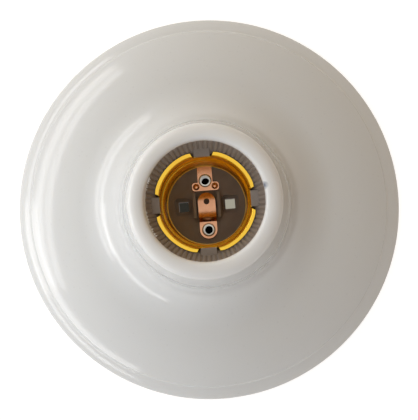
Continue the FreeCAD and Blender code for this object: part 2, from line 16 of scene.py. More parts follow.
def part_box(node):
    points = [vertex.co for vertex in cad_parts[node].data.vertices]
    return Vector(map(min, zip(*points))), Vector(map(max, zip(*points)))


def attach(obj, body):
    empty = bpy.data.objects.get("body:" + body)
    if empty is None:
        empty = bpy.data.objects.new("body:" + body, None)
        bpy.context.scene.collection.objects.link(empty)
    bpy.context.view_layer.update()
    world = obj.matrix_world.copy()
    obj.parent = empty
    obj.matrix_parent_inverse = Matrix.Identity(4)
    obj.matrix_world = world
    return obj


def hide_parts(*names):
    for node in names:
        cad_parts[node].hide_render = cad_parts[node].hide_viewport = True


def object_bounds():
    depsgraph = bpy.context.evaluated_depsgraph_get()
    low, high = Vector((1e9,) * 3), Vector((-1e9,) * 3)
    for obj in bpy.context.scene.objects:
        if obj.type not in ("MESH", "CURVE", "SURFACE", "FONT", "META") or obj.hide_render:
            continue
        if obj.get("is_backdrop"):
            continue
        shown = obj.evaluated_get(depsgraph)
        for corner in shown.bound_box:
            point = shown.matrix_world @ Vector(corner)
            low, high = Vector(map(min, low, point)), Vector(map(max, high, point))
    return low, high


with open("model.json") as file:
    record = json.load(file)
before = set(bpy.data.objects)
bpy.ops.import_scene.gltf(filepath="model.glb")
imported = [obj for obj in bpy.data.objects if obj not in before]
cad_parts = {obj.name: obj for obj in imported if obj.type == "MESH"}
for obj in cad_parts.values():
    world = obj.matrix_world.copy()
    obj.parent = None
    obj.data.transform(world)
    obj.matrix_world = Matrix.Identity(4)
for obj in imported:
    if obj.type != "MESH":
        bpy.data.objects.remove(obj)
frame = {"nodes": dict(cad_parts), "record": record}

LOG = logging.getLogger("lamp_holder")
MM = 0.001
SCATTER_SPREAD = (1.0, 0.9, 0.75)
SCATTER_DEPTH = 2.0
WELD_DISTANCE = 1e-4
BURR_NUMBERS = ("Radius", "Height", "Start", "Sweep")
Colour = tuple[float, float, float]
Point = tuple[float, float]
Place = tuple[float, float, float]
Key = str | int
Link = tuple[bpy.types.Node, Key]
Groups = dict[str, bpy.types.NodeTree]


class Side(Enum):
    """Which way an arc of a section bulges from its way."""

    LEFT = 1
    RIGHT = -1


class Slot(Enum):
    """The record's material slots."""

    MOULDING = "white_moulding"
    SOCKET = "socket_moulding"
    SHELL = "shell_brass"
    CONTACT = "contact_copper"
    EYELET = "eyelet_plate"
    TERMINAL = "terminal_brass"
    CLAMP = "clamp_steel"
    SCREW = "screw_steel"


@dataclass(frozen=True)
class Corner:
    """A corner of a section, and the arc that leaves it, in millimetres.

    Args:
        radius: distance from the axis.
        height: height above the rim.
        bend: radius of the arc to the next corner, or 0 for a straight edge.
        side: the way that arc bulges.
    """

    radius: float
    height: float
    bend: float = 0.0
    side: Side = Side.RIGHT


def trace_section(corners: Sequence[Corner], step: float) -> list[Point]:
    """Turn a closed run of corners into points.

    Args:
        corners: the corners in order.
        step: the longest chord on an arc, in millimetres.

    Returns:
        The points of the closed section, in millimetres.
    """
    points: list[Point] = []
    for corner, following in zip(corners, [*corners[1:], corners[0]]):
        start = Vector((corner.radius, corner.height))
        end = Vector((following.radius, following.height))
        points.append((start.x, start.y))
        if not corner.bend:
            continue
        way = end - start
        half = way.length / 2
        left = Vector((-way.y, way.x)).normalized()
        drop = math.sqrt(max(corner.bend**2 - half**2, 0.0))
        centre = (start + end) / 2 - left * drop * corner.side.value
        first = math.atan2(start.y - centre.y, start.x - centre.x)
        sweep = -2 * math.asin(min(1.0, half / corner.bend)) * corner.side.value
        count = max(2, math.ceil(abs(sweep) * corner.bend / step))
        for index in range(1, count):
            angle = first + sweep * index / count
            spoke = corner.bend * Vector((math.cos(angle), math.sin(angle)))
            points.append((centre.x + spoke.x, centre.y + spoke.y))
    return points


def make_object(name: str, mesh: bpy.types.Mesh, crease: float = 32.0) -> bpy.types.Object:
    """Link a mesh as a smooth-shaded object with its hard edges kept.

    Args:
        name: the piece's name.
        mesh: its mesh.
        crease: the angle in degrees past which an edge stays sharp.

    Returns:
        The new object.
    """
    mesh.polygons.foreach_set("use_smooth", [True] * len(mesh.polygons))
    mesh.set_sharp_from_angle(angle=math.radians(crease))
    piece = bpy.data.objects.new(name, mesh)
    bpy.context.scene.collection.objects.link(piece)
    return piece


def mesh_from(name: str, build: Callable[[BMesh], None]) -> bpy.types.Mesh:
    """Make a mesh with a building function, its faces turned outwards.

    Args:
        name: the mesh's name.
        build: adds vertices and faces, in millimetres.

    Returns:
        The mesh, in metres.
    """
    work = bmesh.new()
    build(work)
    bmesh.ops.remove_doubles(work, verts=work.verts, dist=WELD_DISTANCE)
    bmesh.ops.recalc_face_normals(work, faces=work.faces)
    bmesh.ops.scale(work, vec=Vector((MM, MM, MM)), verts=work.verts)
    mesh = bpy.data.meshes.new(name)
    work.to_mesh(mesh)
    work.free()
    return mesh


def stand_ring(work: BMesh, points: Sequence[Point], angle: float) -> list[BMVert]:
    """Stand a section's points up at an angle round the axis.

    Args:
        work: the mesh being built.
        points: points as (distance from the axis, height).
        angle: the angle.

    Returns:
        The new vertices.
    """
    return [work.verts.new((r * math.cos(angle), r * math.sin(angle), z)) for r, z in points]


def lathe(work: BMesh, section: Sequence[Point], segments: int) -> None:
    """Spin a closed section round an upright axis.

    Args:
        work: the mesh being built.
        section: points as (distance from the axis, height).
        segments: steps round the axis.
    """
    rings = [stand_ring(work, section, math.tau * index / segments) for index in range(segments)]
    join_rings(work, rings, closed=True)


def join_rings(work: BMesh, rings: Sequence[Sequence[BMVert]], closed: bool) -> None:
    """Skin a run of closed loops with quads.

    Args:
        work: the mesh being built.
        rings: loops with the same number of vertices.
        closed: whether the last loop joins the first.
    """
    pairs = list(zip(rings, rings[1:]))
    if closed:
        pairs.append((rings[-1], rings[0]))
    for one, other in pairs:
        for index in range(len(one)):
            after = (index + 1) % len(one)
            work.faces.new((one[index], one[after], other[after], other[index]))


# ---- shader groups and finishes


class Wiring:
    """Adds nodes to a tree and joins them."""

    def __init__(self, tree: bpy.types.NodeTree) -> None:
        """Keep the tree to add to.

        Args:
            tree: the node tree.
        """
        self.tree = tree

    def fill(self, node: bpy.types.Node, inputs: dict[Key, object]) -> None:
        """Set or link a node's inputs.

        Args:
            node: the node.
            inputs: by name or number, a plain value or the link that feeds it.
        """
        for name, value in inputs.items():
            if isinstance(value, tuple) and isinstance(value[0], bpy.types.Node):
                self.tree.links.new(value[0].outputs[value[1]], node.inputs[name])
            else:
                node.inputs[name].default_value = value

    def add(self, kind: str, inputs: dict[Key, object] | None = None, **settings: object) -> bpy.types.Node:
        """Add a node.

        Args:
            kind: the node's type.
            inputs: its inputs, as for fill.
            settings: its properties by name.

        Returns:
            The node.
        """
        node = self.tree.nodes.new(kind)
        for name, value in settings.items():
            setattr(node, name, value)
        self.fill(node, inputs or {})
        return node

    def reckon(self, operation: str, *values: Link | float) -> Link:
        """Add a sum.

        Args:
            operation: the sum's name.
            values: its inputs in order.

        Returns:
            The link to its result.
        """
        return self.add("ShaderNodeMath", dict(enumerate(values)), operation=operation), "Value"

    def span(self, source: Link, low: float, high: float, first: float = 0.0, last: float = 1.0) -> Link:
        """Stretch a range of a number over another.

        Args:
            source: the number.
            low: where the range starts.
            high: where it ends.
            first: the result at its start.
            last: the result at its end.

        Returns:
            The link to the result.
        """
        inputs = {"Value": source, "From Min": low, "From Max": high, "To Min": first, "To Max": last}
        return self.add("ShaderNodeMapRange", inputs), "Result"

    def blend(self, share: Link, first: Link | Colour, second: Link | Colour) -> Link:
        """Mix two colours.

        Args:
            share: how much of the second there is.
            first: a colour or the link to one.
            second: a colour or the link to one.

        Returns:
            The link to the mixed colour.
        """
        pair = [tone if isinstance(tone[0], bpy.types.Node) else (*tone, 1.0) for tone in (first, second)]
        inputs = {"Factor": share, "A": pair[0], "B": pair[1]}
        return self.add("ShaderNodeMix", inputs, data_type="RGBA"), "Result"

    def mix(self, share: Link, first: Link, second: Link) -> Link:
        """Mix two shaders.

        Args:
            share: how much of the second there is.
            first: the link to one shader.
            second: the link to the other.

        Returns:
            The link to the mixed shader.
        """
        return self.add("ShaderNodeMixShader", {0: share, 1: first, 2: second}), "Shader"

    def background_rays(self, glossy_share: Link | float = 1.0) -> Link:
        """Find the rays that see the white background.

        Args:
            glossy_share: how far glossy rays count.

        Returns:
            The link to 1 for those rays and 0 for others.
        """
        path = self.add("ShaderNodeLightPath")
        straight = self.reckon("MAXIMUM", (path, "Is Camera Ray"), (path, "Is Transmission Ray"))
        mirrored = self.reckon("MULTIPLY", (path, "Is Glossy Ray"), glossy_share)
        return self.reckon("MAXIMUM", straight, mirrored)


def shader_group(name: str, inputs: dict[str, float], outputs: Sequence[str]) -> bpy.types.NodeTree:
    """Start a shader group with number sockets and a vector called Place.

    Args:
        name: the group's name.
        inputs: input names and their defaults.
        outputs: output names.

    Returns:
        The group.
    """
    tree = bpy.data.node_groups.new(name, "ShaderNodeTree")
    tree.interface.new_socket("Place", in_out="INPUT", socket_type="NodeSocketVector")
    for label, value in inputs.items():
        socket = tree.interface.new_socket(label, in_out="INPUT", socket_type="NodeSocketFloat")
        socket.default_value = value
    for label in outputs:
        tree.interface.new_socket(label, in_out="OUTPUT", socket_type="NodeSocketFloat")
    return tree


def build_handling_group() -> bpy.types.NodeTree:
    """Group that clouds, specks and scratches a surface.

    Returns:
        A group with Cloud, Speck, Scratch and Height outputs, each from 0 to 1.
    """
    defaults = {"Cloud Scale": 40.0, "Speck Scale": 900.0, "Scratch Scale": 260.0}
    tree = shader_group("handling_marks", defaults, ("Cloud", "Speck", "Scratch", "Height"))
    wiring = Wiring(tree)
    come = wiring.add("NodeGroupInput")
    place = (come, "Place")
    drawn_out = {"Vector": place, "Rotation": (0.4, 0.3, 0.9), "Scale": (1.0, 0.06, 0.4)}
    stretch = wiring.add("ShaderNodeMapping", drawn_out)
    soft = {"Vector": place, "Scale": (come, "Cloud Scale"), "Detail": 4.0, "Roughness": 0.55}
    cloud = wiring.add("ShaderNodeTexNoise", soft)
    grain = {"Vector": place, "Scale": (come, "Speck Scale")}
    speck = wiring.add("ShaderNodeTexVoronoi", grain, feature="F1")
    fine = {"Vector": (stretch, "Vector"), "Scale": (come, "Scratch Scale"), "Detail": 2.0, "Distortion": 0.6}
    scratch = wiring.add("ShaderNodeTexNoise", fine)
    dot = wiring.span((speck, "Distance"), 0.16, 0.06)
    line = wiring.span((scratch, "Fac"), 0.62, 0.70)
    height = wiring.reckon("SUBTRACT", dot, line)
    outputs = {"Cloud": (cloud, "Fac"), "Speck": dot, "Scratch": line, "Height": height}
    wiring.add("NodeGroupOutput", outputs)
    return tree


def build_spot_group() -> bpy.types.NodeTree:
    """Group that masks a soft-edged spot round a point.

    Returns:
        A group whose Spot output is 1 at the point and 0 past its radius.
    """
    defaults = {"X": 0.0, "Y": 0.0, "Z": 0.0, "Radius": 0.001}
    tree = shader_group("local_spot", defaults, ("Spot",))
    wiring = Wiring(tree)
    come = wiring.add("NodeGroupInput")
    place = (come, "Place")
    point = wiring.add("ShaderNodeCombineXYZ", {name: (come, name) for name in ("X", "Y", "Z")})
    ragged = wiring.add("ShaderNodeTexNoise", {"Vector": place, "Scale": 700.0, "Detail": 3.0})
    apart = wiring.add("ShaderNodeVectorMath", {0: place, 1: (point, "Vector")}, operation="DISTANCE")
    share = wiring.reckon("DIVIDE", (apart, "Value"), (come, "Radius"))
    rough = wiring.reckon("ADD", share, (ragged, "Fac"))
    wiring.add("NodeGroupOutput", {"Spot": wiring.span(rough, 1.45, 0.75)})
    return tree


@dataclass(frozen=True)
class Marks:
    """How a surface has been handled.

    Args:
        cloud_scale: scale of the slow change of tone.
        speck_scale: scale of the dust.
        scratch_scale: scale of the fine scratches.
        relief: depth of the bump in metres.
    """

    cloud_scale: float = 40.0
    speck_scale: float = 900.0
    scratch_scale: float = 260.0
    relief: float = 0.00001


@dataclass(frozen=True)
class Finish:
    """A surface finish with two tones, dust and fine scratches.

    Args:
        tone: the main colour.
        shade: the colour of its clouded patches.
        dust: the colour of its specks.
        roughness: the polish of the clean surface.
        spread: how far the roughness rises on clouds and scratches.
        metallic: 1 for metal.
        specular: strength of the plain reflection.
        scatter: weight of the light that wanders under the surface.
        dusting: how strongly the specks show.
        marks: how it has been handled.
    """

    tone: Colour
    shade: Colour
    dust: Colour
    roughness: float
    spread: float
    metallic: float = 0.0
    specular: float = 0.5
    scatter: float = 0.0
    dusting: float = 0.3
    marks: Marks = field(default_factory=Marks)

    def build(self, name: str, groups: Groups) -> bpy.types.Material:
        """Make the material.

        Args:
            name: its name.
            groups: the shared shader groups.

        Returns:
            The material.
        """
        material = bpy.data.materials.new(name)
        material.use_nodes = True
        material.diffuse_color = (*self.tone, 1.0)
        wiring = Wiring(material.node_tree)
        shader = material.node_tree.nodes["Principled BSDF"]
        place = (wiring.add("ShaderNodeTexCoord"), "Object")
        inputs = {
            "Place": place,
            "Cloud Scale": self.marks.cloud_scale,
            "Speck Scale": self.marks.speck_scale,
            "Scratch Scale": self.marks.scratch_scale,
        }
        marks = wiring.add("ShaderNodeGroup", inputs, node_tree=groups["handling"])
        worn = wiring.reckon("MAXIMUM", (marks, "Scratch"), (marks, "Cloud"))
        relief = {"Height": (marks, "Height"), "Distance": self.marks.relief, "Strength": 0.5}
        values = {
            "Base Color": self.colour(wiring, marks, place, groups),
            "Roughness": wiring.span(worn, 0.0, 1.0, self.roughness, self.roughness + self.spread),
            "Normal": (wiring.add("ShaderNodeBump", relief), "Normal"),
            "Metallic": self.metallic,
            "Specular IOR Level": self.specular,
            "Subsurface Weight": self.scatter,
            "Subsurface Radius": SCATTER_SPREAD,
            "Subsurface Scale": SCATTER_DEPTH * MM,
        }
        wiring.fill(shader, values)
        return material

    def colour(
        self,
        wiring: Wiring,
        marks: bpy.types.Node,
        place: Link,
        groups: Groups,
    ) -> Link:
        """Mix the tones.

        Args:
            wiring: adds the nodes.
            marks: the handling group's node.
            place: the link to the coordinates; not used here.
            groups: the shared shader groups; not used here.

        Returns:
            The link to the colour.
        """
        tones = wiring.blend((marks, "Cloud"), self.tone, self.shade)
        return wiring.blend(wiring.reckon("MULTIPLY", (marks, "Speck"), self.dusting), tones, self.dust)


@dataclass(frozen=True)
class SmudgedAndLipLitFinish(Finish):
    """A finish with painted light, paling towards the thin lip where light glows through the collar, and one
    small stain.

    Args:
        painted_lip_light: the lip's colour, painted light standing in for light that glows through the thin
            collar.
        painted_light_heights: the heights between which the tone pales into that painted light, in
            millimetres.
        stain: the stain's colour.
        stain_at: its place, in millimetres.
        stain_radius: its radius, in millimetres.
    """

    # painted light: the lip's paler colour stands in for light glowing through the thin collar wall
    painted_lip_light: Colour = (0.87, 0.855, 0.83)
    painted_light_heights: Point = (43.0, 53.0)
    stain: Colour = (0.25, 0.27, 0.33)
    stain_at: Place = (16.7, 3.0, 54.4)
    stain_radius: float = 1.3

    def colour(
        self,
        wiring: Wiring,
        marks: bpy.types.Node,
        place: Link,
        groups: Groups,
    ) -> Link:
        """Mix the tones, pale them towards the lip as painted light for the light glowing through the thin
        collar, and lay the stain over them.

        Args:
            wiring: adds the nodes.
            marks: the handling group's node.
            place: the link to the coordinates.
            groups: the shared shader groups.

        Returns:
            The link to the colour.
        """
        clean = super().colour(wiring, marks, place, groups)
        split = wiring.add("ShaderNodeSeparateXYZ", {"Vector": place})
        # painted light: the tone pales with height towards the lip, standing in for light that glows through
        # the thin collar wall
        low, high = self.painted_light_heights
        pale = wiring.blend(wiring.span((split, "Z"), low * MM, high * MM), clean, self.painted_lip_light)
        where = zip(("X", "Y", "Z", "Radius"), (*self.stain_at, self.stain_radius))
        inputs = {"Place": place, **{name: value * MM for name, value in where}}
        spot = wiring.add("ShaderNodeGroup", inputs, node_tree=groups["spot"])
        return wiring.blend((spot, "Spot"), pale, self.stain)


FINISHES: dict[Slot, Finish] = {
    # the moulding carries painted light towards its lip, besides one real stain
    Slot.MOULDING: SmudgedAndLipLitFinish(
        tone=(0.78, 0.775, 0.76), shade=(0.74, 0.735, 0.715), dust=(0.42, 0.40, 0.37),
        roughness=0.12, spread=0.05, scatter=0.2, dusting=0.10,
        marks=Marks(cloud_scale=28.0, speck_scale=420.0, scratch_scale=190.0, relief=0.000006),
    ),
    Slot.SOCKET: Finish(
        tone=(0.37, 0.31, 0.265), shade=(0.26, 0.21, 0.175), dust=(0.52, 0.47, 0.42),
        roughness=0.45, spread=0.2, specular=0.3, dusting=0.3,
        marks=Marks(cloud_scale=320.0, speck_scale=1500.0, scratch_scale=500.0, relief=0.00003),
    ),
    Slot.SHELL: Finish(
        tone=(0.93, 0.62, 0.07), shade=(0.84, 0.47, 0.05), dust=(0.40, 0.22, 0.05),
        roughness=0.18, spread=0.08, metallic=1.0, dusting=0.25,
        marks=Marks(cloud_scale=90.0, speck_scale=1300.0, scratch_scale=600.0, relief=0.000004),
    ),
    Slot.CONTACT: Finish(
        tone=(0.70, 0.37, 0.21), shade=(0.48, 0.22, 0.12), dust=(0.25, 0.12, 0.08),
        roughness=0.17, spread=0.1, metallic=1.0, dusting=0.2,
        marks=Marks(cloud_scale=420.0, speck_scale=1600.0, scratch_scale=900.0, relief=0.00001),
    ),
    Slot.EYELET: Finish(
        tone=(0.66, 0.64, 0.58), shade=(0.50, 0.48, 0.42), dust=(0.2, 0.18, 0.15),
        roughness=0.24, spread=0.18, metallic=1.0,
        marks=Marks(cloud_scale=700.0, speck_scale=2200.0, scratch_scale=1200.0),
    ),
    Slot.TERMINAL: Finish(
        tone=(0.80, 0.58, 0.20), shade=(0.62, 0.42, 0.14), dust=(0.3, 0.2, 0.08),
        roughness=0.3, spread=0.2, metallic=1.0,
        marks=Marks(cloud_scale=260.0, speck_scale=1500.0, scratch_scale=800.0),
    ),
    Slot.CLAMP: Finish(
        tone=(0.62, 0.61, 0.57), shade=(0.52, 0.50, 0.44), dust=(0.25, 0.23, 0.2),
        roughness=0.32, spread=0.2, metallic=1.0,
        marks=Marks(cloud_scale=300.0, speck_scale=1500.0, scratch_scale=800.0),
    ),
    Slot.SCREW: Finish(
        tone=(0.66, 0.64, 0.55), shade=(0.54, 0.51, 0.40), dust=(0.25, 0.22, 0.16),
        roughness=0.27, spread=0.2, metallic=1.0,
        marks=Marks(cloud_scale=350.0, speck_scale=1700.0, scratch_scale=900.0),
    ),
}


def dress(piece: bpy.types.Object, material: bpy.types.Material) -> None:
    """Give a piece one material on every slot.

    Args:
        piece: the piece.
        material: its material.
    """
    if not piece.data.materials:
        piece.data.materials.append(material)
    for slot in piece.material_slots:
        slot.material = material


# ---- geometry trees


def build_burr_tree() -> bpy.types.NodeTree:
    """Geometry tree that scatters the piece's own mesh along an arc about the upright axis.

    Returns:
        The tree, with inputs for the count, the arc, the seed and the finish.
    """
    tree = bpy.data.node_groups.new("scatter_burrs", "GeometryNodeTree")
    kinds = {"Geometry": "Geometry", "Count": "Int", **dict.fromkeys(BURR_NUMBERS, "Float")}
    for name, kind in {**kinds, "Seed": "Int", "Finish": "Material"}.items():
        tree.interface.new_socket(name, in_out="INPUT", socket_type=f"NodeSocket{kind}")
    tree.interface.new_socket("Geometry", in_out="OUTPUT", socket_type="NodeSocketGeometry")
    wiring = Wiring(tree)
    come = wiring.add("NodeGroupInput")
    seed = (come, "Seed")
    share = wiring.add("FunctionNodeRandomValue", {"Seed": seed}, data_type="FLOAT")
    angle = wiring.reckon("MULTIPLY_ADD", (share, "Value"), (come, "Sweep"), (come, "Start"))
    where: dict[Key, object] = {"Z": (come, "Height")}
    for operation, name in (("COSINE", "X"), ("SINE", "Y")):
        where[name] = wiring.reckon("MULTIPLY", wiring.reckon(operation, angle), (come, "Radius"))
    point = wiring.add("ShaderNodeCombineXYZ", where)
    inputs = {"Count": (come, "Count"), "Position": (point, "Vector")}
    points = wiring.add("GeometryNodePoints", inputs)
    spin = wiring.add("ShaderNodeCombineXYZ", {"Z": angle})
    sizes = {"Seed": seed, "Min": (0.15, 0.4, 0.5), "Max": (1.1, 1.4, 1.2)}
    size = wiring.add("FunctionNodeRandomValue", sizes, data_type="FLOAT_VECTOR")
    copies = {
        "Points": (points, "Points"),
        "Instance": (come, "Geometry"),
        "Rotation": (spin, "Vector"),
        "Scale": (size, "Value"),
    }
    place = wiring.add("GeometryNodeInstanceOnPoints", copies)
    real = wiring.add("GeometryNodeRealizeInstances", {"Geometry": (place, "Instances")})
    dressed = {"Geometry": (real, "Geometry"), "Material": (come, "Finish")}
    finish = wiring.add("GeometryNodeSetMaterial", dressed)
    wiring.add("NodeGroupOutput", {"Geometry": (finish, "Geometry")})
    return tree


def bake_tree(piece: bpy.types.Object, tree: bpy.types.NodeTree, values: dict[str, object]) -> None:
    """Run a geometry tree on a piece and keep its result as a plain mesh.

    Args:
        piece: the object that carries the tree's input.
        tree: the geometry tree.
        values: input values by socket name.
    """
    modifier = piece.modifiers.new(tree.name, "NODES")
    modifier.node_group = tree
    for item in tree.interface.items_tree:
        if item.item_type == "SOCKET" and item.in_out == "INPUT" and item.name in values:
            modifier[item.identifier] = values[item.name]
    graph = bpy.context.evaluated_depsgraph_get()
    mesh = bpy.data.meshes.new_from_object(piece.evaluated_get(graph))
    piece.modifiers.clear()
    piece.data = mesh


# ---- the moulded cover


@dataclass
class CoverMoulding:
    """The white cover: rim band, shoulder, flare, collar and lip, with two screw bosses behind.

    Args:
        radius: the rim's radius; every length is in millimetres.
        height: the lip's height above the rim's lower plane.
        wall: the wall's thickness.
        rim_height: height of the rim band's inner edge.
        rim_foot: height of the rim's upright edge.
        rim_edge: radius of the round over that edge.
        rim_lean: how far that round turns.
        rim_round: radius of the band's arc.
        rim_band: width of the band.
        step: width and height of the step from the band to the shoulder.
        step_round: radius of that step's hollow.
        slope: lean of the wall where the shoulder meets the flare.
        flare: radius of the flare.
        foot: radius and height of the collar's foot.
        bead: radius of the bead round that foot.
        collar: the collar's outer radius.
        mouth: the mouth's radius.
        lip_round: radius of the lip's outer edge.
        mouth_round: radius of the mouth's edge.
        boss_place: distance of each boss from the axis.
        boss_radius: each boss's radius.
        boss_bore: its hole's radius.
        boss_bottom: height of its lower end.
        boss_depth: its hole's depth.
        boss_steps: steps round a boss.
        chord: the longest chord on the section's arcs.
        segments: steps round the cover.
    """

    radius: float
    height: float
    wall: float = 2.4
    rim_height: float = 5.0
    rim_foot: float = 0.9
    rim_edge: float = 1.6
    rim_lean: float = math.radians(44.0)
    rim_round: float = 20.0
    rim_band: float = 4.2
    step: Point = (1.2, 1.6)
    step_round: float = 2.2
    slope: float = math.radians(15.0)
    flare: float = 22.0
    foot: Point = (25.1, 37.0)
    bead: float = 0.5
    collar: float = 21.8
    mouth: float = 16.75
    lip_round: float = 2.9
    mouth_round: float = 1.4
    boss_place: float = 27.0
    boss_radius: float = 3.6
    boss_bore: float = 1.83
    boss_bottom: float = 16.0
    boss_depth: float = 7.0
    boss_steps: int = 40
    chord: float = 0.7
    segments: int = 256

    def section(self) -> list[Corner]:
        """List the wall's corners, up the outside and down the inside.

        Returns:
            The corners of the closed section.
        """
        sine, cosine = math.sin(self.slope), math.cos(self.slope)
        foot_x, foot_z = self.foot
        flare_x = foot_x + self.flare * (1 - sine)
        flare_z = foot_z - self.flare * cosine
        shoulder_x = self.radius - self.rim_band - self.step[0]
        shoulder_z = self.rim_height + self.step[1]
        run, drop = shoulder_x - flare_x, flare_z - shoulder_z
        dome = (run**2 + drop**2) / (2 * (drop * cosine - run * sine))
        centre_x, centre_z = flare_x - dome * sine, flare_z - dome * cosine
        inner_x = shoulder_x + self.wall * (centre_x - shoulder_x) / dome
        inner_z = shoulder_z + self.wall * (centre_z - shoulder_z) / dome
        under = self.height - self.wall
        inside = self.rim_height - self.wall
        edge_x = self.radius - self.rim_edge * (1 - math.cos(self.rim_lean))
        edge_z = self.rim_foot + self.rim_edge * math.sin(self.rim_lean)
        return [
            Corner(self.radius, 0.0),
            Corner(self.radius, self.rim_foot, self.rim_edge),
            Corner(edge_x, edge_z, self.rim_round),
            Corner(shoulder_x + self.step[0], self.rim_height, self.step_round, Side.LEFT),
            Corner(shoulder_x, shoulder_z, dome),
            Corner(flare_x, flare_z, self.flare, Side.LEFT),
            Corner(foot_x, foot_z, self.bead),
            Corner(foot_x - self.bead, foot_z + self.bead),
            Corner(self.collar, self.height - self.lip_round, self.lip_round),
            Corner(self.collar - self.lip_round, self.height),
            Corner(self.mouth + self.mouth_round, self.height, self.mouth_round),
            Corner(self.mouth, self.height - self.mouth_round),
            Corner(self.mouth, under),
            Corner(self.collar - self.wall, under),
            Corner(foot_x - self.wall, foot_z, self.flare + self.wall),
            Corner(flare_x - self.wall * sine, flare_z - self.wall * cosine, dome - self.wall, Side.LEFT),
            Corner(inner_x, inner_z),
            Corner(shoulder_x, inside),
            Corner(self.radius - self.wall, inside),
            Corner(self.radius - self.wall, 0.0),
        ]

    def flare_height(self, radius: float) -> float:
        """Find the middle of the flare's wall.

        Args:
            radius: distance from the axis.

        Returns:
            The height of the wall's middle there.
        """
        centre = self.foot[0] + self.flare
        bend = self.flare + self.wall / 2
        return self.foot[1] - math.sqrt(max(0.0, bend**2 - (centre - radius) ** 2))

    def add_boss(self, work: BMesh, side: int) -> None:
        """Add one screw boss, a blind tube that ends inside the flare's wall.

        Args:
            work: the mesh being built.
            side: 1 for the right boss, -1 for the left one.
        """
        centre_x = side * self.boss_place
        rings: list[list[BMVert]] = []
        for radius, top in ((self.boss_radius, True), (self.boss_radius, False), (self.boss_bore, False)):
            ring = []
            for index in range(self.boss_steps):
                angle = math.tau * index / self.boss_steps
                x, y = centre_x + radius * math.cos(angle), radius * math.sin(angle)
                height = self.flare_height(math.hypot(x, y)) if top else self.boss_bottom
                ring.append(work.verts.new((x, y, height)))
            rings.append(ring)
        deep = self.boss_bottom + self.boss_depth
        floor = [work.verts.new((vert.co.x, vert.co.y, deep)) for vert in rings[-1]]
        rings.append(floor)
        join_rings(work, rings, closed=False)
        work.faces.new(floor)
        work.faces.new(rings[0])

    def build(self) -> bpy.types.Object:
        """Make the cover.

        Returns:
            The piece that stands for the cover.
        """
        points = trace_section(self.section(), self.chord)

        def fill(work: BMesh) -> None:
            """Lathe the wall and add the bosses.

            Args:
                work: the mesh being built.
            """
            lathe(work, points, self.segments)
            self.add_boss(work, 1)
            self.add_boss(work, -1)

        return make_object("cover_moulding", mesh_from("cover_moulding", fill))


@dataclass
class MouthFlash:
    """Ragged moulding flash along the left of the collar's mouth: a thin web with burrs on its edge.

    Args:
        radius: the mouth's radius; every length is in millimetres.
        top: the height at which the flash starts.
        start: the angle at which it starts.
        sweep: the angle that it covers.
        web: how far the web stands in at its middle.
        web_drop: how far below the top its tip stands.
        web_edge: thickness of its tip.
        web_root: thickness at its root.
        bite: how far its root reaches into the cover.
        steps: steps along the web.
        burrs: number of burrs.
        burr_reach: a burr's length.
        burr_width: a burr's width.
        seed: seed of the burrs' places and sizes.
    """

    radius: float
    top: float
    start: float = math.radians(150.0)
    sweep: float = math.radians(62.0)
    web: float = 0.35
    web_drop: float = 0.7
    web_edge: float = 0.2
    web_root: float = 1.7
    bite: float = 0.15
    steps: int = 60
    burrs: int = 46
    burr_reach: float = 0.55
    burr_width: float = 0.5
    seed: int = 7

    def build_web(self) -> bpy.types.Object:
        """Make the web that joins the burrs.

        Returns:
            The web's piece.
        """

        def fill(work: BMesh) -> None:
            """Skin the web's sections.

            Args:
                work: the mesh being built.
            """
            rings = []
            for index in range(self.steps + 1):
                share = index / self.steps
                angle = self.start + self.sweep * share
                tip = self.radius - self.web * math.sin(math.pi * share)
                root = self.radius + self.bite
                lower = self.top - self.web_drop
                ring = [(root, self.top), (tip, lower), (tip, lower - self.web_edge)]
                ring.append((root, self.top - self.web_root))
                rings.append(stand_ring(work, ring, angle))
            join_rings(work, rings, closed=False)
            work.faces.new(rings[0])
            work.faces.new(rings[-1])

        return make_object("mouth_flash", mesh_from("mouth_flash", fill), crease=50.0)

    def build_burrs(self, finish: bpy.types.Material) -> bpy.types.Object:
        """Scatter burrs along the web's edge.

        Args:
            finish: the cover's material.

        Returns:
            The burrs' piece.
        """
        half = self.burr_width / 2

        def fill(work: BMesh) -> None:
            """Shape one burr, a small crooked pyramid.

            Args:
                work: the mesh being built.
            """
            tip = work.verts.new((-self.burr_reach, half * 0.3, -0.1))
            corners = ((-1.0, 0.15), (1.0, 0.1), (0.8, -0.25), (-0.9, -0.2))
            base = [work.verts.new((0.1, half * side, height)) for side, height in corners]
            for index, corner in enumerate(base):
                work.faces.new((corner, base[(index + 1) % len(base)], tip))
            work.faces.new(base)

        burrs = make_object("mouth_burrs", mesh_from("mouth_burrs", fill), crease=50.0)
        values = {
            "Count": self.burrs,
            "Radius": (self.radius - self.web * 0.4) * MM,
            "Height": (self.top - self.web_drop - 0.1) * MM,
            "Start": self.start,
            "Sweep": self.sweep,
            "Seed": self.seed,
            "Finish": finish,
        }
        bake_tree(burrs, build_burr_tree(), values)
        return burrs


# ---- the rolled shell


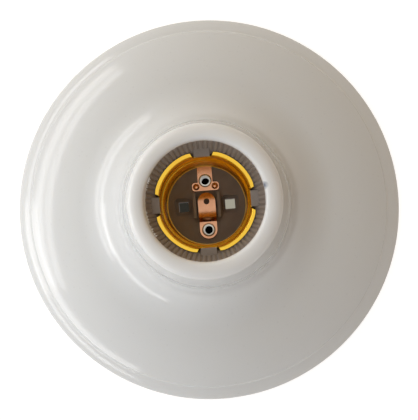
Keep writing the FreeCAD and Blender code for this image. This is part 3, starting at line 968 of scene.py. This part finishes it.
@dataclass
class RolledShell:
    """The drawn brass shell with its helical thread and its rim bent in round the four lugs.

    Args:
        bottom: the base flange's lower face; every length is in millimetres.
        top: the rim's height.
        pitch: the thread's pitch.
        depth: the thread's depth.
        groove: inner radius at the thread's grooves.
        wall: the sheet's thickness.
        turns: turns of thread.
        plain: height of the plain run below the thread.
        base_width: width of the base flange.
        neck: inner radius of the plain run above the thread.
        rim_rise: height of the flared rim.
        rim_radius: the rim's outer radius.
        rim_lean: how far the rim turns outwards.
        lugs: number of notches, one at each lug of the cup.
        notch: half the width of a notch.
        notch_bottom: height of its bottom.
        notch_slope: the angle over which its side rises.
        bend_in: how far the rim bends in beside a notch.
        bend_width: the angle over which it does so.
        fade: height over which the thread starts and ends.
        blend: height below the rim at which the rows part.
        columns: mesh columns round the shell.
        rows: mesh rows up to the blend.
        rim_rows: mesh rows above it.
    """

    bottom: float
    top: float
    pitch: float = 3.629
    depth: float = 1.1
    groove: float = 13.25
    wall: float = 0.35
    turns: float = 5.0
    plain: float = 0.9
    base_width: float = 0.95
    neck: float = 13.05
    rim_rise: float = 1.6
    rim_radius: float = 14.6
    rim_lean: float = math.radians(72.0)
    lugs: int = 4
    notch: float = 2.55
    notch_bottom: float = 45.3
    notch_slope: float = math.radians(3.0)
    bend_in: float = 0.3
    bend_width: float = 0.09
    fade: float = 1.5
    blend: float = 1.2
    columns: int = 144
    rows: int = 96
    rim_rows: int = 8

    def thread_radius(self, height: float, angle: float) -> float:
        """Find the sheet's middle on the thread.

        Args:
            height: the height.
            angle: the angle round the axis.

        Returns:
            The radius there.
        """
        start = self.bottom + self.plain
        end = start + self.turns * self.pitch
        middle = self.groove - self.depth / 2 + self.wall / 2
        phase = (height - start) / self.pitch - angle / math.tau
        swell = min(1.0, max(0.0, (height - start) / self.fade), max(0.0, (end - height) / self.fade))
        quarter = self.pitch / 4
        bend = quarter**2 / self.depth + self.depth / 4
        step = (phase + 0.25) % 1.0
        side = 1 if step < 0.5 else -1
        along = (step % 0.5 - 0.25) * self.pitch
        wave = side * (math.sqrt(bend**2 - along**2) - bend + self.depth / 2) / (self.depth / 2)
        plain = self.neck + self.wall / 2 - middle if height > (start + end) / 2 else 0.0
        return middle + self.depth / 2 * wave * swell + plain * (1 - swell)

    def sheet_radius(self, height: float, angle: float) -> float:
        """Find the sheet's middle anywhere above the base flange.

        Args:
            height: the height.
            angle: the angle round the axis.

        Returns:
            The radius there.
        """
        neck = self.top - self.rim_rise
        radius = self.thread_radius(min(height, neck), angle)
        if height > neck:
            lean = math.asin((height - neck) / self.rim_rise * math.sin(self.rim_lean))
            share = (1 - math.cos(lean)) / (1 - math.cos(self.rim_lean))
            radius += (self.rim_radius - self.wall / 2 - radius) * share
        return radius

    def columns_round(self) -> list[tuple[float, float]]:
        """List the mesh's columns.

        Returns:
            Each column's angle, and how much of the rim stands there, from 0 to 1.
        """
        half = math.asin(self.notch / self.rim_radius)
        found = []
        for lug in range(self.lugs):
            middle = math.tau * lug / self.lugs
            found += [(middle + half * share, 0.0) for share in (-1, -0.6, -0.2, 0.2, 0.6, 1)]
            found += [(middle + half + self.notch_slope * share, share) for share in (0.3, 0.7)]
            first = middle + half + self.notch_slope
            gap = math.tau / self.lugs - 2 * (half + self.notch_slope)
            count = self.columns // self.lugs
            found += [(first + gap * index / count, 1.0) for index in range(count + 1)]
            last = middle + math.tau / self.lugs - half
            found += [(last - self.notch_slope * share, share) for share in (0.7, 0.3)]
        return found

    def build(self) -> bpy.types.Object:
        """Make the shell.

        Returns:
            The piece that stands for the screw shell.
        """
        half = self.wall / 2
        neck = self.top - self.rim_rise
        span = math.asin(self.notch / self.rim_radius)

        def fill(work: BMesh) -> None:
            """Skin the sheet's sections.

            Args:
                work: the mesh being built.
            """
            rings = []
            for angle, stand in self.columns_round():
                crown = self.notch_bottom + (self.top - self.notch_bottom) * stand
                apart = abs((angle + math.pi / self.lugs) % (math.tau / self.lugs) - math.pi / self.lugs)
                bent = self.bend_in * stand * math.exp(-(((apart - span) / self.bend_width) ** 2))
                base = self.sheet_radius(self.bottom + self.wall, angle) + half - self.base_width
                foot = self.bottom + self.wall
                inside, outside = [(base, self.bottom + self.wall)], [(base, self.bottom)]
                last = neck - self.blend
                heights = [foot + (last - foot) * index / self.rows for index in range(self.rows + 1)]
                heights += [
                    last + (crown - last) * index / self.rim_rows for index in range(1, self.rim_rows + 1)
                ]
                for height in heights:
                    middle = self.sheet_radius(height, angle)
                    if height > neck:
                        middle -= bent * (height - neck) / self.rim_rise
                    inside.append((middle - half, height))
                    outside.append((middle + half, max(height, foot)))
                outside[1] = (outside[1][0], self.bottom)
                rings.append(stand_ring(work, inside + outside[::-1], angle))
            join_rings(work, rings, closed=True)

        return make_object("rolled_shell", mesh_from("rolled_shell", fill), crease=50.0)


# ---- floor, light and camera


@dataclass(frozen=True)
class Pane:
    """A flat soft light that looks at the socket.

    Args:
        name: the lamp's name.
        azimuth: its direction from the socket in plan, in degrees.
        elevation: its height above the horizon, in degrees.
        size: width and height in metres.
        power: its power in watts.
        distance: its distance in metres.
    """

    name: str
    azimuth: float
    elevation: float
    size: Point
    power: float
    distance: float = 0.58

    def build(self) -> None:
        """Hang the light."""
        light = bpy.data.lights.new(self.name, "AREA")
        light.shape = "RECTANGLE"
        light.size, light.size_y = self.size
        light.energy = self.power
        lamp = bpy.data.objects.new(self.name, light)
        round_angle, rise = math.radians(self.azimuth), math.radians(self.elevation)
        away = Vector(
            (math.cos(rise) * math.cos(round_angle), math.cos(rise) * math.sin(round_angle), math.sin(rise))
        )
        lamp.location = away * self.distance
        lamp.rotation_mode = "QUATERNION"
        lamp.rotation_quaternion = (-away).to_track_quat("-Z", "Y")
        bpy.context.scene.collection.objects.link(lamp)


@dataclass
class Studio:
    """Plain floor, soft window light from the left and a camera close above the socket.

    Args:
        reach: half the object's width, in metres, as is every length here.
        camera_at: the camera's place.
        aim: the point that it looks at.
        roll: how far it is turned about its view.
        lens: its focal length in millimetres.
        clip: the nearest distance that it sees.
        panes: the flat lights.
        upper_sky: the room's colours from left to right, towards the top of the view.
        lower_sky: the same towards the bottom.
        sky_turn: where, from top to bottom, the first gives way to the second.
        room_level: the room's strength.
        overhead: its strength straight above.
        overhead_from: where it starts to fall, and where it has fallen.
        floor_reach: half the floor's width, as a multiple of reach.
        floor_gap: how far the floor lies under the object.
        floor_paint: the floor's colour.
        backdrop: how much the floor glows for the rays that see it white.
        rim_share: the share of reach inside which the floor is hidden under the cover.
        slot_glow_span: where, from the axis out, the floor starts to glow as painted light seen through a
            fixing slot, and where that glow is full.
        left_slot_glow: the strength of that painted glow through the left slot.
        slot_glow_colour: the painted glow's colour through the right slot.
        under_light: the light under the cover.
    """

    reach: float
    camera_at: Place = (0.0045, -0.0105, 0.266)
    aim: Place = (0.0002, -0.0008, 0.005)
    roll: float = math.radians(4.4)
    lens: float = 66.3
    clip: float = 0.01
    panes: Sequence[Pane] = (
        Pane("window_pane_upper", azimuth=160.0, elevation=19.0, size=(1.0, 0.07), power=0.72),
        Pane("window_pane_lower", azimuth=160.0, elevation=9.0, size=(1.0, 0.08), power=0.82),
        Pane("bright_wall", azimuth=206.0, elevation=4.0, size=(0.8, 0.07), power=0.65),
    )
    upper_sky: Sequence[tuple[float, Colour]] = (
        (0.0, (0.28, 0.28, 0.29)),
        (0.45, (0.93, 0.96, 0.98)),
        (0.62, (0.62, 0.48, 0.27)),
        (1.0, (0.06, 0.01, 0.0)),
    )
    lower_sky: Sequence[tuple[float, Colour]] = (
        (0.0, (0.28, 0.28, 0.29)),
        (0.45, (0.88, 0.94, 1.0)),
        (0.68, (0.46, 0.43, 0.41)),
        (1.0, (0.06, 0.03, 0.02)),
    )
    sky_turn: Point = (0.1, -0.6)
    room_level: float = 1.25
    overhead: float = 0.05
    overhead_from: Point = (0.87, 0.965)
    floor_reach: float = 40.0
    floor_gap: float = 0.0002
    floor_paint: Colour = (0.45, 0.42, 0.38)
    backdrop: float = 0.82
    rim_share: float = 0.97
    # painted light: the floor's glow seen through the fixing slots
    slot_glow_span: Point = (0.004, 0.006)
    left_slot_glow: float = 0.08
    slot_glow_colour: Colour = (0.36, 0.34, 0.27)
    under_light: Colour = (0.55, 0.55, 0.55)

    def build_floor(self) -> None:
        """Lay the pale floor, which the camera sees as white outside the object's rim and, through the fixing
        slots, as a painted glow under the cover.
        """
        half = self.floor_reach * self.reach
        mesh = bpy.data.meshes.new("floor")
        corners = [(-half, -half, 0), (half, -half, 0), (half, half, 0), (-half, half, 0)]
        mesh.from_pydata(corners, [], [(0, 1, 2, 3)])
        floor = bpy.data.objects.new("floor", mesh)
        floor.location.z = -self.floor_gap
        bpy.context.scene.collection.objects.link(floor)
        material = bpy.data.materials.new("pale_floor")
        material.use_nodes = True
        wiring = Wiring(material.node_tree)
        material.node_tree.nodes.clear()
        place = (wiring.add("ShaderNodeTexCoord"), "Object")
        apart = wiring.add("ShaderNodeVectorMath", {0: place}, operation="LENGTH")
        rim = wiring.reckon("GREATER_THAN", (apart, "Value"), self.reach * self.rim_share)
        across = (wiring.add("ShaderNodeSeparateXYZ", {"Vector": place}), "X")
        # painted light: under the cover the floor glows for the camera, full to the right of the axis and dim
        # to the left, standing in for light seen through the fixing slots
        near, far = self.slot_glow_span
        right = wiring.span(across, near, far)
        left = wiring.span(across, -near, -far, last=self.left_slot_glow)
        slot_glow_inputs = {"Vector": self.slot_glow_colour, "Scale": wiring.reckon("ADD", right, left)}
        # painted light: this scaled colour is the painted glow under the slots
        wall = wiring.add("ShaderNodeVectorMath", slot_glow_inputs, operation="SCALE")
        shown_tone = wiring.blend(rim, (wall, "Vector"), (self.backdrop,) * 3)
        glow = (wiring.add("ShaderNodeEmission", {"Color": shown_tone}), "Emission")
        under = (wiring.add("ShaderNodeEmission", {"Color": (*self.under_light, 1.0)}), "Emission")
        paint = (wiring.add("ShaderNodeBsdfDiffuse", {"Color": (*self.floor_paint, 1.0)}), "BSDF")
        lit = (wiring.add("ShaderNodeAddShader", {0: glow, 1: paint}), "Shader")
        shown = wiring.mix(rim, glow, lit)
        hidden = wiring.mix(rim, under, paint)
        front = wiring.mix(wiring.background_rays(rim), hidden, shown)
        side = (wiring.add("ShaderNodeNewGeometry"), "Backfacing")
        clear = (wiring.add("ShaderNodeBsdfTransparent"), "BSDF")
        wiring.add("ShaderNodeOutputMaterial", {"Surface": wiring.mix(side, front, clear)})
        mesh.materials.append(material)
        floor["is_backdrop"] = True

    def build_world(self) -> None:
        """Light the room from a pale left to a warm dark right, dark overhead, and show it white."""
        world = bpy.data.worlds.new("room")
        world.use_nodes = True
        bpy.context.scene.world = world
        wiring = Wiring(world.node_tree)
        world.node_tree.nodes.clear()
        place = wiring.add("ShaderNodeTexCoord")
        split = wiring.add("ShaderNodeSeparateXYZ", {"Vector": (place, "Generated")})
        across = wiring.span((split, "X"), -1.0, 1.0)
        skies: list[Link] = []
        for stops in (self.upper_sky, self.lower_sky):
            ramp = wiring.add("ShaderNodeValToRGB", {"Fac": across})
            ramp.color_ramp.interpolation = "EASE"
            elements = ramp.color_ramp.elements
            for number, (position, colour) in enumerate(stops):
                element = elements[number] if number < 2 else elements.new(position)
                element.position = position
                element.color = (*colour, 1.0)
            skies.append((ramp, "Color"))
        sky = wiring.blend(wiring.span((split, "Y"), *self.sky_turn), *skies)
        strength = wiring.span((split, "Z"), *self.overhead_from, self.room_level, self.overhead)
        room = wiring.add("ShaderNodeBackground", {"Color": sky, "Strength": strength})
        white = wiring.add("ShaderNodeBackground", {"Color": (1.0, 1.0, 1.0, 1.0)})
        both = wiring.mix(wiring.background_rays(), (room, "Background"), (white, "Background"))
        wiring.add("ShaderNodeOutputWorld", {"Surface": both})

    def build_camera(self) -> None:
        """Stand the camera close above the socket, a little off its axis."""
        data = bpy.data.cameras.new("camera")
        data.lens = self.lens
        data.clip_start = self.clip
        camera = bpy.data.objects.new("camera", data)
        camera.location = self.camera_at
        back = (Vector(self.camera_at) - Vector(self.aim)).normalized()
        up = Vector((math.sin(self.roll), math.cos(self.roll), 0.0))
        right = up.cross(back).normalized()
        up = back.cross(right)
        turn = Matrix((right, up, back)).transposed()
        camera.rotation_mode = "QUATERNION"
        camera.rotation_quaternion = turn.to_quaternion()
        bpy.context.scene.collection.objects.link(camera)
        bpy.context.scene.camera = camera

    def build(self) -> None:
        """Set up the whole studio."""
        self.build_floor()
        for pane in self.panes:
            pane.build()
        self.build_world()
        self.build_camera()
        bpy.context.scene.view_settings.view_transform = "Standard"


# ---- putting it together


@dataclass
class LampHolder:
    """The whole lamp holder: every carried node dressed, and the pieces that stand for some of them.

    Args:
        materials: the finishes by slot, filled in as they are built.
        flash_lap: how far the mouth's flash starts above the foot of the mouth's round, in millimetres.
    """

    materials: dict[Slot, bpy.types.Material] = field(default_factory=dict)
    flash_lap: float = 0.2

    def mix_materials(self) -> None:
        """Build every finish once."""
        groups = {"handling": build_handling_group(), "spot": build_spot_group()}
        for slot, finish in FINISHES.items():
            self.materials[slot] = finish.build(slot.value, groups)

    def dress_nodes(self) -> None:
        """Give each carried node the finish of its slot."""
        for part in frame["record"]["subparts"]:
            dress(frame["nodes"][part["node"]], self.materials[Slot(part["material_slot"])])
            LOG.info("dressed %s", part["node"])

    def place(self, piece: bpy.types.Object, slot: Slot, replaced: Sequence[str] = ()) -> None:
        """Dress a made piece and fasten it to the fixed body.

        Args:
            piece: the piece.
            slot: the record's slot that it takes its finish from.
            replaced: carried nodes that it stands for.
        """
        dress(piece, self.materials[slot])
        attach(piece, "base")
        if replaced:
            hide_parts(*replaced)
        LOG.info("made %s", piece.name)

    def build(self) -> None:
        """Build the made pieces round the carried nodes."""
        self.mix_materials()
        self.dress_nodes()
        low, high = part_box("cover")
        cover = CoverMoulding(radius=round(high.x / MM, 1), height=high.z / MM)
        self.place(cover.build(), Slot.MOULDING, ["cover"])
        flash = MouthFlash(radius=cover.mouth, top=cover.height - cover.mouth_round + self.flash_lap)
        self.place(flash.build_web(), Slot.MOULDING)
        self.place(flash.build_burrs(self.materials[Slot.MOULDING]), Slot.MOULDING)
        shell_low, shell_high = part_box("screw_shell")
        shell = RolledShell(bottom=shell_low.z / MM, top=shell_high.z / MM)
        self.place(shell.build(), Slot.SHELL, ["screw_shell"])


def main() -> None:
    """Build the lamp holder and its studio, the studio sized from the box of the objects that were there
    before the build.
    """
    logging.basicConfig(level=logging.INFO, format="%(name)s: %(message)s")
    solid_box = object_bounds()
    LampHolder().build()
    Studio(reach=solid_box[1].x).build()


if __name__ == "__main__":
    main()
